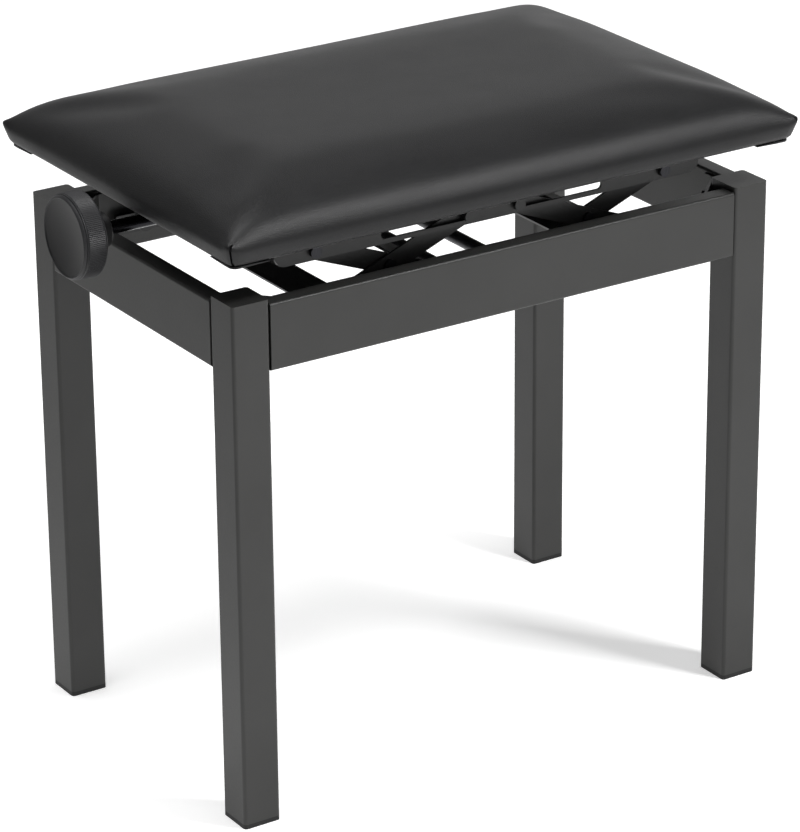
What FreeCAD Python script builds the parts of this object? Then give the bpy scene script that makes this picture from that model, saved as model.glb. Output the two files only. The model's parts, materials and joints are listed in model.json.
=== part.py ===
import FreeCAD, Part
import math
import os
from dataclasses import dataclass

import Sketcher

# Height-adjustable piano bench: a padded seat on a scissor lift in a steel frame.
# +X runs along the bench, +Y goes to its back, +Z is up. The parts are drawn about
# the middle of the steel frame, and exported about the middle of the whole bench,
# whose one knob stands out on the left: the origin is on the floor under that
# middle. The lift is modelled at its lowest height.

doc = FreeCAD.newDocument("PianoBench")

# ---------------------------------------------------------------------------
# Driving dimensions, in millimetres
# ---------------------------------------------------------------------------
DRIVING = [
    # steel frame
    ("frame_length", 462, "outer faces of the legs along X"),
    ("frame_depth", 287, "outer faces of the legs along Y"),
    ("frame_height", 404, "floor to the top of a leg's cap"),
    ("leg_side", 30, "square leg tube"),
    ("leg_wall", 1.5, "wall of the leg tube"),
    ("leg_round", 2.5, "outer corner radius of the leg tube"),
    ("cap_thick", 3, "plate of the leg's top cap"),
    ("foot_thick", 3.5, "plate of the leg's foot"),
    ("plug_depth", 9, "how far caps and feet reach into the tube"),
    ("plug_gap", 0.1, "play round a plug"),
    ("rail_tall", 50, "height of the rail tube"),
    ("rail_deep", 15, "thickness of the rail tube"),
    ("rail_wall", 1.5, "wall of the rail tube"),
    ("rail_round", 2, "outer corner radius of the rail tube"),
    ("rail_drop", 3.7, "rail top below the leg top"),
    ("rail_joint", 0.8, "open joint between a rail and a leg"),
    # corner brackets and their bolts
    ("bracket_thick", 2, "sheet of a corner bracket"),
    ("bracket_tall", 44, "height of a corner bracket"),
    ("bracket_tab", 10, "tab that is welded to a rail"),
    ("bracket_gap", 0.7, "bracket clear of the leg's corner, along a rail"),
    ("bolt_width", 6, "shank diameter of a leg bolt"),
    ("bolt_length", 16, "shank length of a leg bolt"),
    ("bolt_flats", 10, "across flats of the leg bolt's head"),
    ("bolt_head", 4, "thickness of the leg bolt's head"),
    ("bolt_pitch", 24, "between the two bolts of one leg"),
    ("bolt_play", 0.25, "radial play of a bolt in its hole"),
    ("nut_width", 10, "outer diameter of the insert nut in a leg"),
    ("nut_long", 6, "length of the insert nut"),
    # scissor lift
    ("sheet", 2, "sheet of the tracks and arms"),
    ("track_gap", 7, "between a track's outer face and its rail"),
    ("track_over", 32.5, "upper track beyond its fixed pin"),
    ("track_end_gap", 1, "between a lower track's end and a corner bracket"),
    ("low_track_tall", 15, "upright of a lower track"),
    ("pivot_drop", 32, "lower pins below the leg top"),
    ("arm_rise", 50, "upper pins above the lower pins, at rest"),
    ("pivot_inset", 80.5, "fixed pins inside the frame's ends, along X"),
    ("pivot_in", 21.5, "sliding pins from the middle, at rest"),
    ("slide_stop", 58.5, "between a fixed and a sliding pin, raised"),
    ("arm_wide", 15, "width of an arm's side plate"),
    ("arm_play", 1.6, "between a track and an outer arm"),
    ("arm_gap", 1, "between an outer and an inner side plate"),
    ("web_inner_from", 39, "inner arm's web starts, from its lower pin"),
    ("web_inner_long", 26, "length of the inner arm's web"),
    ("web_outer_from", 11, "outer arm's web starts, from its lower pin"),
    ("web_outer_long", 23, "length of the outer arm's web"),
    ("pin_width", 6, "diameter of the pins"),
    ("pin_head", 9, "diameter of the pin heads"),
    ("head_thick", 3.4, "thickness of the pin heads"),
    ("rod_width", 10, "diameter of the cross rods"),
    ("running_fit", 0.05, "radial clearance of a running pin"),
    ("slot_play", 0.3, "radial clearance of a sliding pin in its slot"),
    ("free_play", 0.5, "radial clearance of the right inner arm's upper pin"),
    ("washer_width", 14, "outer diameter of the arm washers"),
    ("washer_play", 0.1, "axial play beside a washer"),
    # spindle and its travelling bars
    ("spindle_width", 12, "thread diameter of the spindle"),
    ("journal_width", 10, "spindle diameter outside its thread"),
    ("thread_over", 16, "thread beyond the sliding pins, raised"),
    ("bar_side", 20, "square travelling bar"),
    ("bar_shoulder", 17.8, "round shoulder at each end of that bar"),
    ("nut_wall", 1.5, "wall of a travelling nut"),
    ("nut_lip", 2, "flange of a travelling nut, beyond its body"),
    ("nut_plate", 2, "thickness of that flange"),
    ("end_plate_inset", 7, "inner face of an end plate inside the upper track's end"),
    ("end_plate_below", 12, "middle of an end plate, below the spindle's axis"),
    ("bush_outer", 16, "body of a spindle bush"),
    ("bush_flange", 20, "flange of a spindle bush"),
    ("collar_width", 18, "outer diameter of a thrust collar"),
    ("collar_long", 7, "length of a thrust collar"),
    ("thrust_play", 0.3, "axial play beside a thrust collar"),
    ("spindle_tail", 4, "spindle beyond its right bush"),
    # knob
    ("knob_stand", 51, "front rim of the knob beyond the frame's left end"),
    ("knob_radius", 31.7, "radius of the ribbed grip"),
    ("knob_thick", 20, "grip from rear face to front rim"),
    ("knob_hub", 13, "radius of the hub behind the grip"),
    ("knob_hub_long", 13, "length of that hub"),
    ("knob_dish", 28.2, "radius of the dished front"),
    ("dish_depth", 3.4, "depth of the dish at its centre"),
    ("inlay_thick", 2.4, "thickness of the dished inlay"),
    ("grub_width", 4, "grub screw in the knob's hub"),
    # seat
    ("top_track_below", 6.8, "upper track below its pins"),
    ("seat_above", 16.8, "underside of the seat's hem above the upper pins"),
    ("seat_over_x", 9, "seat beyond the frame at each end"),
    ("seat_over_y", 16.5, "seat beyond the frame at the front and back"),
    ("seat_tall", 42, "hem to the crown of the seat"),
    ("seat_round", 12, "radius of the cover's top edge"),
    ("seat_corner", 15, "corner radius of the cover, in plan"),
    ("cover_thick", 1.2, "artificial leather"),
    ("cover_gap", 0.2, "cover clear of what it covers"),
    ("hem_wide", 22, "hem under the board"),
    ("board_thick", 12, "plywood board"),
    ("foam_wrap", 3, "foam round the board's edges"),
    ("dust_thick", 0.5, "dust cloth under the board"),
    ("dust_inset", 8, "dust cloth inside the seat's edge"),
    ("flange_wide", 20, "flange that the seat is screwed to"),
    ("screw_width", 4, "seat screw"),
    ("screw_head", 8, "head of a seat screw"),
    ("screw_head_tall", 2.4, "height of that head"),
    ("screw_bite", 9, "seat screw inside the board"),
    ("screw_play", 0.25, "radial play of a seat screw in a flange"),
    ("staple_long", 10, "crown of a staple"),
    ("staple_wire", 0.7, "wire of a staple"),
    ("staple_inset", 14, "staples inside the seat's edge"),
]

sheet = doc.addObject("Spreadsheet::Sheet", "Sizes")
for row, (name, number, note) in enumerate(DRIVING, start=1):
    sheet.set(f"A{row}", name)
    sheet.set(f"B{row}", str(number))
    sheet.set(f"C{row}", note)
    sheet.setAlias(f"B{row}", name)
doc.recompute()


@dataclass(frozen=True)
class Size:
    """A number of millimetres or degrees together with its spreadsheet formula."""

    value: float
    text: str

    def __add__(self, other):
        return joined(self, "+", other)

    def __radd__(self, other):
        return joined(other, "+", self)

    def __sub__(self, other):
        return joined(self, "-", other)

    def __rsub__(self, other):
        return joined(other, "-", self)

    def __mul__(self, other):
        return joined(self, "*", other)

    def __rmul__(self, other):
        return joined(other, "*", self)

    def __truediv__(self, other):
        return joined(self, "/", other)

    def __neg__(self):
        return joined(0, "-", self)


def as_size(number):
    """A plain number as a Size."""
    return number if isinstance(number, Size) else Size(float(number), f"({float(number)!r})")


def joined(left, sign, right):
    """Two sizes added, subtracted, multiplied or divided, in number and in formula."""
    left, right = as_size(left), as_size(right)
    value = {
        "+": lambda: left.value + right.value,
        "-": lambda: left.value - right.value,
        "*": lambda: left.value * right.value,
        "/": lambda: left.value / right.value,
    }[sign]()
    return Size(value, f"({left.text} {sign} {right.text})")


def root_of_squares(across, up):
    """The length of a slanted line from its two legs."""
    return Size(math.hypot(across.value, up.value), f"sqrt({(across * across + up * up).text})")


class Sizes:
    """Gives each driving dimension by its name."""

    def __getattr__(self, name):
        return Size(float(getattr(sheet, name)), f"Sizes.{name}")


S = Sizes()

# ---------------------------------------------------------------------------
# Sizes that follow from the driving ones
# ---------------------------------------------------------------------------
half_length = S.frame_length / 2
half_depth = S.frame_depth / 2
leg_x = half_length - S.leg_side / 2
leg_y = half_depth - S.leg_side / 2
rail_top = S.frame_height - S.rail_drop
rail_middle = rail_top - S.rail_tall / 2
rail_x = half_length - S.rail_deep / 2
rail_y = half_depth - S.rail_deep / 2
inner_x = half_length - S.rail_deep
inner_y = half_depth - S.rail_deep
bracket_leg = 2 * (S.leg_side - S.rail_deep) + S.bracket_gap
low_pivot = S.frame_height - S.pivot_drop
top_pivot = low_pivot + S.arm_rise
pivot_out = half_length - S.pivot_inset
slide_end = pivot_out - S.slide_stop
arm_run = pivot_out - S.pivot_in
arm_long = root_of_squares(arm_run, S.arm_rise)
arm_angle = math.degrees(math.atan2(S.arm_rise.value, arm_run.value))
track_half = inner_y - S.track_gap
track_inner = track_half - S.sheet
top_reach = pivot_out + S.track_over
low_reach = inner_x - bracket_leg - S.bracket_tab - S.track_end_gap
low_track_low = low_pivot - S.low_track_tall / 2
top_track_low = top_pivot - S.top_track_below
arm_outer = track_inner - S.arm_play
outer_in = arm_outer - S.sheet
arm_inner = outer_in - S.arm_gap
inner_in = arm_inner - S.sheet
bar_half = outer_in - S.washer_play - S.bar_shoulder
head_out = track_half + S.head_thick
centre_x = (pivot_out + S.pivot_in) / 2
centre_z = (low_pivot + top_pivot) / 2
nut_outer = S.spindle_width + 2 * S.nut_wall
end_plate_at = top_reach - S.end_plate_inset
knob_face_at = half_length + S.knob_stand
seat_low = top_pivot + S.seat_above
seat_length = S.frame_length + 2 * S.seat_over_x
seat_depth = S.frame_depth + 2 * S.seat_over_y
dust_low = seat_low - S.dust_thick
hem_top = seat_low + S.cover_thick
board_low = hem_top + S.cover_gap
board_top = board_low + S.board_thick
cover_inside = S.cover_thick + S.cover_gap
seat_top = seat_low + S.seat_tall
collar_at = end_plate_at - S.nut_plate - S.thrust_play
screw_x = (S.pivot_in * 2, pivot_out - S.pin_head)
screw_y = track_half - S.flange_wide * 0.6
screw_end_x = end_plate_at - S.flange_wide / 2
screw_end_y = bar_half * 0.7
screw_hole = S.screw_width + 2 * S.screw_play
middle_x = (seat_length / 2 - knob_face_at) / 2

SIDES = (("left", -1), ("right", 1))
FACES = (("front", -1), ("back", 1))
CORNERS = (("front_left", -1, -1, 0), ("front_right", 1, -1, 90),
           ("back_right", 1, 1, 180), ("back_left", -1, 1, 270))

UP = FreeCAD.Vector(0, 0, 1)
ALONG = FreeCAD.Vector(1, 0, 0)
ACROSS = FreeCAD.Vector(0, 1, 0)

# ---------------------------------------------------------------------------
# Helpers for bodies, sketches and features
# ---------------------------------------------------------------------------
nodes = []


def keep(piece, label):
    """Name a finished sub-part and list it for export."""
    piece.Label = label
    nodes.append(piece)
    return piece


def bind(thing, prop, size):
    """Set a property through a spreadsheet formula."""
    thing.setExpression(prop, as_size(size).text)


def place(piece, x, y, z, turn=None):
    """Put a piece at x, y, z, turned by a rotation."""
    base = FreeCAD.Vector(*(as_size(v).value for v in (x, y, z)))
    piece.Placement = FreeCAD.Placement(base, turn or FreeCAD.Rotation())
    for letter, size in zip("xyz", (x, y, z)):
        bind(piece, f"Placement.Base.{letter}", size)
    return piece


def turned(axis, degrees):
    """A rotation about an axis through the origin."""
    return FreeCAD.Rotation(axis, degrees)


def new_body(name):
    """An empty PartDesign body."""
    return doc.addObject("PartDesign::Body", name)


def new_sketch(body, plane):
    """A sketch on one of the body's own origin planes."""
    sketch = body.newObject("Sketcher::SketchObject", body.Name + "_sketch")
    support = next(f for f in body.Origin.OriginFeatures if f.Role == plane)
    sketch.AttachmentSupport = [(support, "")]
    sketch.MapMode = "FlatFace"
    return sketch


def bound(sketch, kind, *parts):
    """Add a constraint whose last part is a size, and bind it to its formula."""
    size = as_size(parts[-1])
    index = sketch.addConstraint(Sketcher.Constraint(kind, *parts[:-1], size.value))
    sketch.setExpression(f"Constraints[{index}]", size.text)


def fix_point(sketch, curve, point, x, y):
    """Hold one point of a curve at x, y."""
    bound(sketch, "DistanceX", -1, 1, curve, point, x)
    bound(sketch, "DistanceY", -1, 1, curve, point, y)


def draw_outline(sketch, corners):
    """A closed outline of straight edges through the corners."""
    count = len(corners)
    points = [FreeCAD.Vector(as_size(x).value, as_size(y).value, 0) for x, y in corners]
    first = sketch.GeometryCount
    for i in range(count):
        sketch.addGeometry(Part.LineSegment(points[i], points[(i + 1) % count]))
    for i in range(count):
        after = first + (i + 1) % count
        sketch.addConstraint(Sketcher.Constraint("Coincident", first + i, 2, after, 1))
        fix_point(sketch, first + i, 1, *corners[i])


def draw_circle(sketch, x, y, diameter):
    """A circle held at x, y."""
    centre = FreeCAD.Vector(as_size(x).value, as_size(y).value, 0)
    index = sketch.addGeometry(Part.Circle(centre, UP, as_size(diameter).value / 2))
    fix_point(sketch, index, 3, x, y)
    bound(sketch, "Diameter", index, diameter)


def draw_arc(sketch, x, y, radius, start, end):
    """An arc held by its centre and radius; start and end are in degrees."""
    centre = FreeCAD.Vector(as_size(x).value, as_size(y).value, 0)
    circle = Part.Circle(centre, UP, as_size(radius).value)
    index = sketch.addGeometry(Part.ArcOfCircle(circle, math.radians(start), math.radians(end)))
    fix_point(sketch, index, 3, x, y)
    bound(sketch, "Radius", index, radius)
    return index


def draw_rounded(sketch, arcs):
    """A closed outline of arcs, anticlockwise, with straight edges between them."""
    made = [draw_arc(sketch, *arc) for arc in arcs]
    for i, arc in enumerate(made):
        after = made[(i + 1) % len(made)]
        line = sketch.addGeometry(Part.LineSegment(sketch.getPoint(arc, 2), sketch.getPoint(after, 1)))
        sketch.addConstraint(Sketcher.Constraint("Tangent", arc, 2, line, 1))
        sketch.addConstraint(Sketcher.Constraint("Tangent", line, 2, after, 1))


def draw_rectangle(sketch, width, height, radius):
    """A centred rectangle with rounded corners."""
    x, y = width / 2 - radius, height / 2 - radius
    draw_rounded(sketch, [(x, y, radius, 0, 90), (-x, y, radius, 90, 180),
                          (-x, -y, radius, 180, 270), (x, -y, radius, 270, 360)])


def draw_slot(sketch, x_from, x_to, y, radius):
    """A slot with round ends, along the sketch's first axis."""
    draw_rounded(sketch, [(x_from, y, radius, 90, 270), (x_to, y, radius, 270, 450)])


def pad(body, sketch, length, symmetric=False):
    """Raise a sketch into a solid."""
    feature = body.newObject("PartDesign::Pad", body.Name + "_pad")
    feature.Profile = sketch
    feature.SideType = "Symmetric" if symmetric else "One side"
    bind(feature, "Length", length)
    return feature


def pocket(body, sketch, length):
    """Cut a sketch out of the solid, half of the length to each side of it."""
    doc.recompute()
    before = body.Shape.Volume
    feature = body.newObject("PartDesign::Pocket", body.Name + "_pocket")
    feature.Profile = sketch
    feature.SideType = "Symmetric"
    bind(feature, "Length", length)
    doc.recompute()
    if not body.Shape.Volume < before - 0.01:
        raise RuntimeError(f"{body.Name}: the pocket cut nothing")
    return feature


def drill_flange(body, places):
    """Drill the seat screws' holes through a level flange."""
    sketch = new_sketch(body, "XY_Plane")
    for x, y in places:
        draw_circle(sketch, x, y, screw_hole)
    pocket(body, sketch, 2 * seat_low)


def spun(name, profile):
    """A body turned about its own Z axis from radius and height pairs."""
    body = new_body(name)
    sketch = new_sketch(body, "XZ_Plane")
    draw_outline(sketch, profile)
    feature = body.newObject("PartDesign::Revolution", name + "_turned")
    feature.Profile = sketch
    feature.ReferenceAxis = (sketch, ["V_Axis"])
    feature.Angle = 360
    return body


def ring(name, inner, outer, length):
    """A ring from z = 0 up, by its two diameters."""
    return spun(name, [(inner / 2, 0), (outer / 2, 0), (outer / 2, length), (inner / 2, length)])


def stepped_pin(name, steps):
    """A turned pin from z = 0 up; each step is a radius and a length."""
    low = as_size(0)
    profile = [(0, 0)]
    for radius, length in steps:
        profile += [(radius, low), (radius, low + length)]
        low = low + length
    return spun(name, profile + [(0, low)])


def group(label, pieces):
    """Identical fasteners in one node, each a solid of its own."""
    together = doc.addObject("Part::Compound", label)
    together.Links = pieces
    return keep(together, label)


# ---------------------------------------------------------------------------
# Steel frame
# ---------------------------------------------------------------------------
bolt_heights = (rail_middle - S.bolt_pitch / 2, rail_middle + S.bolt_pitch / 2)
corner_distance = bracket_leg / math.sqrt(2)


def toward_corner(side_x, side_y, distance):
    """A point inside a frame corner, on its diagonal, at a distance from the rails' corner."""
    return side_x * (inner_x - distance / math.sqrt(2)), side_y * (inner_y - distance / math.sqrt(2))


def make_leg(label, side_x, side_y, spin):
    """A square tube with two bolt holes through its inner corner."""
    tube = new_body(label + "_tube")
    sketch = new_sketch(tube, "XY_Plane")
    draw_rectangle(sketch, S.leg_side, S.leg_side, S.leg_round)
    inside = S.leg_side - 2 * S.leg_wall
    draw_rectangle(sketch, inside, inside, S.leg_round - S.leg_wall)
    pad(tube, sketch, S.frame_height - S.cap_thick - S.foot_thick)
    place(tube, side_x * leg_x, side_y * leg_y, S.foot_thick)
    drills = []
    for number, height in enumerate(bolt_heights):
        drill = doc.addObject("Part::Cylinder", f"{label}_drill_{number}")
        bind(drill, "Radius", S.bolt_width / 2 + S.bolt_play)
        bind(drill, "Height", S.leg_side / 2)
        outward = turned(UP, spin + 225) * turned(ACROSS, 90)
        reach = S.leg_side / math.sqrt(2)
        start = reach - S.leg_side / 2
        place(drill, side_x * (leg_x - start / math.sqrt(2)), side_y * (leg_y - start / math.sqrt(2)),
              height, turned(UP, 180) * outward)
        drills.append(drill)
    both = doc.addObject("Part::MultiFuse", label + "_drills")
    both.Shapes = drills
    leg = doc.addObject("Part::Cut", label)
    leg.Base = tube
    leg.Tool = both
    doc.recompute()
    if not leg.Shape.Volume < tube.Shape.Volume - 1:
        raise RuntimeError(f"{label}: the bolt holes cut nothing")
    keep(leg, label)


def make_plug(label, plate, side_x, side_y, height, upside_down):
    """A plate that closes a leg tube, with a hollow plug inside the tube."""
    body = new_body(label)
    sketch = new_sketch(body, "XY_Plane")
    draw_rectangle(sketch, S.leg_side, S.leg_side, S.leg_round)
    pad(body, sketch, plate)
    sketch = new_sketch(body, "XY_Plane")
    outside = S.leg_side - 2 * S.leg_wall - 2 * S.plug_gap
    draw_rectangle(sketch, outside, outside, S.leg_round - S.leg_wall)
    inside = outside - 2 * S.leg_wall
    draw_rectangle(sketch, inside, inside, S.leg_round - S.leg_wall)
    pad(body, sketch, plate + S.plug_depth)
    turn = turned(ALONG, 180) if upside_down else None
    place(body, side_x * leg_x, side_y * leg_y, height, turn)
    keep(body, label)


def make_rail(label, x, y, length, spin):
    """A rectangular tube with open ends."""
    body = new_body(label)
    sketch = new_sketch(body, "YZ_Plane")
    draw_rectangle(sketch, S.rail_deep, S.rail_tall, S.rail_round)
    draw_rectangle(sketch, S.rail_deep - 2 * S.rail_wall, S.rail_tall - 2 * S.rail_wall,
                   S.rail_round - S.rail_wall)
    pad(body, sketch, length, symmetric=True)
    place(body, x, y, rail_middle, turned(UP, spin))
    keep(body, label)


def make_bracket(label, side_x, side_y, spin):
    """A bent strip across a frame corner, with two bolt holes."""
    body = new_body(label)
    sketch = new_sketch(body, "XY_Plane")
    far = bracket_leg + S.bracket_tab
    bend = bracket_leg + S.bracket_thick * math.tan(math.radians(22.5))
    thick = S.bracket_thick
    draw_outline(sketch, [(0, far), (0, bracket_leg), (bracket_leg, 0), (far, 0),
                          (far, thick), (bend, thick), (thick, bend), (thick, far)])
    pad(body, sketch, S.bracket_tall)
    place(body, side_x * inner_x, side_y * inner_y, rail_middle - S.bracket_tall / 2,
          turned(UP, spin))
    drills = []
    for number, height in enumerate(bolt_heights):
        drill = doc.addObject("Part::Cylinder", f"{label}_drill_{number}")
        bind(drill, "Radius", S.bolt_width / 2 + S.bolt_play)
        bind(drill, "Height", 4 * S.bracket_thick)
        x, y = toward_corner(side_x, side_y, corner_distance - S.bracket_thick)
        place(drill, x, y, height, turned(UP, spin + 45) * turned(ACROSS, 90))
        drills.append(drill)
    both = doc.addObject("Part::MultiFuse", label + "_drills")
    both.Shapes = drills
    bracket = doc.addObject("Part::Cut", label + "_drilled")
    bracket.Base = body
    bracket.Tool = both
    doc.recompute()
    if not bracket.Shape.Volume < body.Shape.Volume - 1:
        raise RuntimeError(f"{label}: the bolt holes cut nothing")
    body.Label = label + "_strip"
    keep(bracket, label)


def make_bolt(name):
    """A hexagon bolt along Z: its head below z = 0 and its shank above."""
    body = new_body(name)
    sketch = new_sketch(body, "XY_Plane")
    across = S.bolt_flats / math.sqrt(3)
    hexagon = [(across * math.cos(math.radians(60 * k)), across * math.sin(math.radians(60 * k)))
               for k in range(6)]
    draw_outline(sketch, hexagon)
    head = pad(body, sketch, S.bolt_head)
    head.Reversed = True
    sketch = new_sketch(body, "XY_Plane")
    draw_circle(sketch, 0, 0, S.bolt_width)
    pad(body, sketch, S.bolt_length)
    return body


bolts, insert_nuts = [], []
for corner, side_x, side_y, spin in CORNERS:
    make_leg("leg_" + corner, side_x, side_y, spin)
    make_plug("leg_cap_" + corner, S.cap_thick, side_x, side_y, S.frame_height, True)
    make_plug("leg_foot_" + corner, S.foot_thick, side_x, side_y, 0, False)
    make_bracket("corner_bracket_" + corner, side_x, side_y, spin)
    into_leg = turned(UP, spin + 225) * turned(ACROSS, 90)
    for number, height in enumerate(bolt_heights):
        bolt = make_bolt(f"bolt_{corner}_{number}")
        seat_at = corner_distance + S.bracket_thick
        bolts.append(place(bolt, *toward_corner(side_x, side_y, seat_at), height, into_leg))
        insert = ring(f"nut_{corner}_{number}", S.bolt_width, S.nut_width, S.nut_long)
        tip = seat_at - S.bolt_length
        insert_nuts.append(place(insert, *toward_corner(side_x, side_y, tip + S.nut_long),
                                 height, into_leg))
group("corner_bolts", bolts)
group("insert_nuts", insert_nuts)

for face, side in FACES:
    make_rail("rail_" + face, 0, side * rail_y, S.frame_length - 2 * (S.leg_side + S.rail_joint), 0)
for face, side in SIDES:
    make_rail("rail_" + face, side * rail_x, 0, S.frame_depth - 2 * (S.leg_side + S.rail_joint), 90)

# ---------------------------------------------------------------------------
# Tracks: the lower pair is welded to the rails, the upper pair carries the seat
# ---------------------------------------------------------------------------
slot_radius = S.pin_width / 2 + S.slot_play


def draw_track(sketch, reach, low, high, pin, corner):
    """A track's upright: rounded lower corners, two pin holes and two slots."""
    flat = reach - corner
    tiny = as_size(0.5)
    draw_rounded(sketch, [(reach - tiny, high - tiny, tiny, 0, 90),
                          (-(reach - tiny), high - tiny, tiny, 90, 180),
                          (-flat, low + corner, corner, 180, 270),
                          (flat, low + corner, corner, 270, 360)])
    for side in (-1, 1):
        draw_circle(sketch, side * pivot_out, pin, S.pin_width)
        ends = sorted((side * S.pivot_in, side * slide_end), key=lambda size: size.value)
        draw_slot(sketch, *ends, pin, slot_radius)


def make_track(label, side, reach, low, high, pin, corner, flange):
    """An angle along X. flange is its breadth, its lower face and its side of the upright."""
    body = new_body(label)
    sketch = new_sketch(body, "XZ_Plane")
    draw_track(sketch, reach, low, high, pin, corner)
    pad(body, sketch, S.sheet, symmetric=True)
    breadth, flange_low, inward = flange
    sketch = new_sketch(body, "YZ_Plane")
    start = -S.sheet / 2
    end = start + breadth
    if not inward:
        start, end = -end, -start
    draw_outline(sketch, [(start, flange_low), (end, flange_low),
                          (end, flange_low + S.sheet), (start, flange_low + S.sheet)])
    pad(body, sketch, 2 * (reach - corner), symmetric=True)
    middle = track_half - S.sheet / 2
    if inward:
        drill_flange(body, [(end_side * at, middle - screw_y) for end_side in (-1, 1) for at in screw_x])
    place(body, 0, side * middle, 0, turned(UP, 180) if side > 0 else None)
    keep(body, label)


for face, side in FACES:
    make_track("lower_track_" + face, side, low_reach, low_track_low,
               low_track_low + S.low_track_tall, low_pivot, as_size(2),
               (inner_y - track_inner, low_track_low, False))
    make_track("upper_track_" + face, side, top_reach, top_track_low, dust_low, top_pivot,
               as_size(9), (S.flange_wide, dust_low - S.sheet, True))

# ---------------------------------------------------------------------------
# Scissor arms: wide channels whose side plates carry the pins
# ---------------------------------------------------------------------------
plate_round = S.arm_wide / 2


def make_arm(label, outer_face, web_from, web_long, web_above, holes):
    """A channel along X from its lower pin at the origin; holes are (place, diameter)."""
    body = new_body(label)
    sketch = new_sketch(body, "XZ_Plane")
    draw_slot(sketch, 0, arm_long, 0, plate_round)
    for at, diameter in holes:
        draw_circle(sketch, at, 0, diameter)
    pad(body, sketch, 2 * outer_face, symmetric=True)
    sketch = new_sketch(body, "XZ_Plane")
    clear = S.arm_wide
    web_end = web_from + web_long
    if web_above:
        web_edge = plate_round - S.sheet
        draw_outline(sketch, [(-clear, -clear), (arm_long + clear, -clear),
                              (arm_long + clear, clear), (web_end, clear), (web_end, web_edge),
                              (web_from, web_edge), (web_from, clear), (-clear, clear)])
    else:
        web_edge = S.sheet - plate_round
        draw_outline(sketch, [(-clear, -clear), (web_from, -clear), (web_from, web_edge),
                              (web_end, web_edge), (web_end, -clear), (arm_long + clear, -clear),
                              (arm_long + clear, clear), (-clear, clear)])
    pocket(body, sketch, 2 * (outer_face - S.sheet))
    return keep(body, label)


half_arm = arm_long / 2
running_hole = S.pin_width + 2 * S.running_fit
for name, side in SIDES:
    upright = turned(UP, 0) if side < 0 else turned(UP, 180)
    rising_in = upright * turned(ACROSS, -arm_angle)
    rising_out = turned(UP, 180) * rising_in
    outer = make_arm("outer_arm_" + name, arm_outer, S.web_outer_from, S.web_outer_long, False,
                     [(0, running_hole), (half_arm, S.pin_width), (arm_long, running_hole)])
    place(outer, side * pivot_out, 0, low_pivot, rising_in)
    upper_play = S.running_fit if side < 0 else S.free_play
    inner = make_arm("inner_arm_" + name, arm_inner, S.web_inner_from, S.web_inner_long, True,
                     [(0, S.pin_width), (half_arm, running_hole),
                      (arm_long, S.pin_width + 2 * upper_play)])
    place(inner, side * S.pivot_in, 0, low_pivot, rising_out)

# ---------------------------------------------------------------------------
# Rods, pins and washers of the scissor
# ---------------------------------------------------------------------------
pin_r = S.pin_width / 2
head_r = S.pin_head / 2
rod_r = S.rod_width / 2
face_turn = {-1: turned(ALONG, -90), 1: turned(ALONG, 90)}


def make_rod(label, x, z, half_profile):
    """A rod along Y, the same at both ends; half_profile goes outward from the middle."""
    profile = [(0, -half_profile[-1][1])]
    profile += [(radius, -at) for radius, at in reversed(half_profile)]
    profile += list(half_profile) + [(0, half_profile[-1][1])]
    body = spun(label, profile)
    place(body, x, 0, z, turned(ALONG, -90))
    return body


def steps(*pairs):
    """Corners of a stepped half profile from (radius, end) pairs."""
    corners = []
    for index, (radius, end) in enumerate(pairs):
        if index:
            corners.append((radius, pairs[index - 1][1]))
        corners.append((radius, end))
    return corners


slide_low = track_half - S.sheet - S.slot_play
slide_high = track_half + S.slot_play
for name, side in SIDES:
    keep(make_rod("lower_slide_rod_" + name, side * S.pivot_in, low_pivot,
                  steps((rod_r, inner_in), (pin_r, arm_inner), (head_r, slide_low),
                        (pin_r, slide_high), (head_r, head_out))), "lower_slide_rod_" + name)

    rivets, washers = [], []
    for face, out in FACES:
        rivet = stepped_pin(f"centre_rivet_{name}_{face}",
                            [(head_r, S.sheet), (pin_r, arm_outer - inner_in + S.washer_play),
                             (head_r, S.sheet * 0.75)])
        rivets.append(place(rivet, side * centre_x, out * (arm_outer + S.sheet), centre_z,
                            face_turn[out]))
        washer = ring(f"arm_washer_{name}_{face}", S.pin_width + 0.2, S.washer_width,
                      S.arm_gap - 2 * S.washer_play)
        washers.append(place(washer, side * centre_x, out * (outer_in - S.washer_play), centre_z,
                             face_turn[out]))
    group("centre_rivets_" + name, rivets)
    group("arm_washers_" + name, washers)

for level, height, arm_face in (("lower", low_pivot, arm_outer), ("upper", top_pivot, arm_inner)):
    studs = []
    for name, side in SIDES:
        for face, out in FACES:
            stud = stepped_pin(f"{level}_stud_{name}_{face}",
                               [(head_r, S.head_thick), (pin_r, S.sheet),
                                (head_r, track_inner - arm_face - S.washer_play),
                                (pin_r, S.sheet + 2 * S.washer_play), (head_r, S.sheet * 0.75)])
            studs.append(place(stud, side * pivot_out, out * head_out, height, face_turn[out]))
    group(level + "_pivot_studs", studs)

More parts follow.
